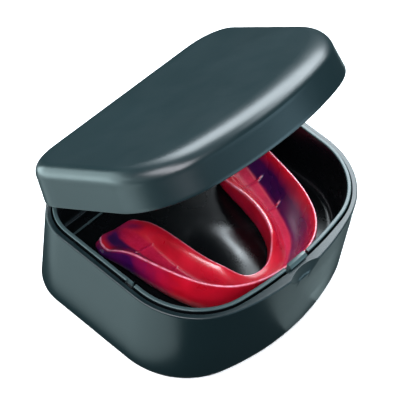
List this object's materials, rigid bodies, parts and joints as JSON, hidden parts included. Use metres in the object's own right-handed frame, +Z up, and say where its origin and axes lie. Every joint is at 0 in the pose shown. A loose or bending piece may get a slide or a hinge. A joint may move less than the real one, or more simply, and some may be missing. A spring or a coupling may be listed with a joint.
{
  "type": "mouthguard with case",
  "caption": "Soft U-shaped mouthguard stored in a rounded plastic case with a hinged lid, a raised tray lip and a front snap tongue.",
  "frame": {"origin": "centre of the flat resting face under the case base", "axes": "-Y from the hinge towards the latch at the front, +X to the right of someone who faces the latch, +Z up"},
  "size_m": [0.084, 0.0733, 0.0835],
  "materials": {
    "case_plastic": "fine satin moulding in dark grey-green",
    "tray_plastic": "smooth black moulding",
    "pin_steel": "plain steel wire",
    "guard_polymer": "soft translucent red thermoplastic, purple where it is thick"
  },
  "bodies": {
    "base": {"base_shell": "case_plastic", "inner_tray": "tray_plastic", "hinge_pin_left": "pin_steel", "hinge_pin_right": "pin_steel"},
    "lid": {"lid_shell": "case_plastic"},
    "tongue": {"latch_tongue": "tray_plastic"},
    "guard": {"mouthguard": "guard_polymer"}
  },
  "joints": [
    {"name": "lid_hinge", "type": "hinge", "parent": "base", "child": "lid", "pos_m": [0, 0.03687, 0.0337], "axis": [-1, 0, 0], "range_deg": [-38.5, 71]},
    {"name": "tongue_flex", "type": "hinge", "parent": "base", "child": "tongue", "pos_m": [0, -0.0305, 0.0265], "axis": [-1, 0, 0], "range_deg": [0, 5]},
    {"name": "guard_lift", "type": "slide", "parent": "base", "child": "guard", "axis": [0, 0, 1], "range_m": [0, 0.008]}
  ]
}
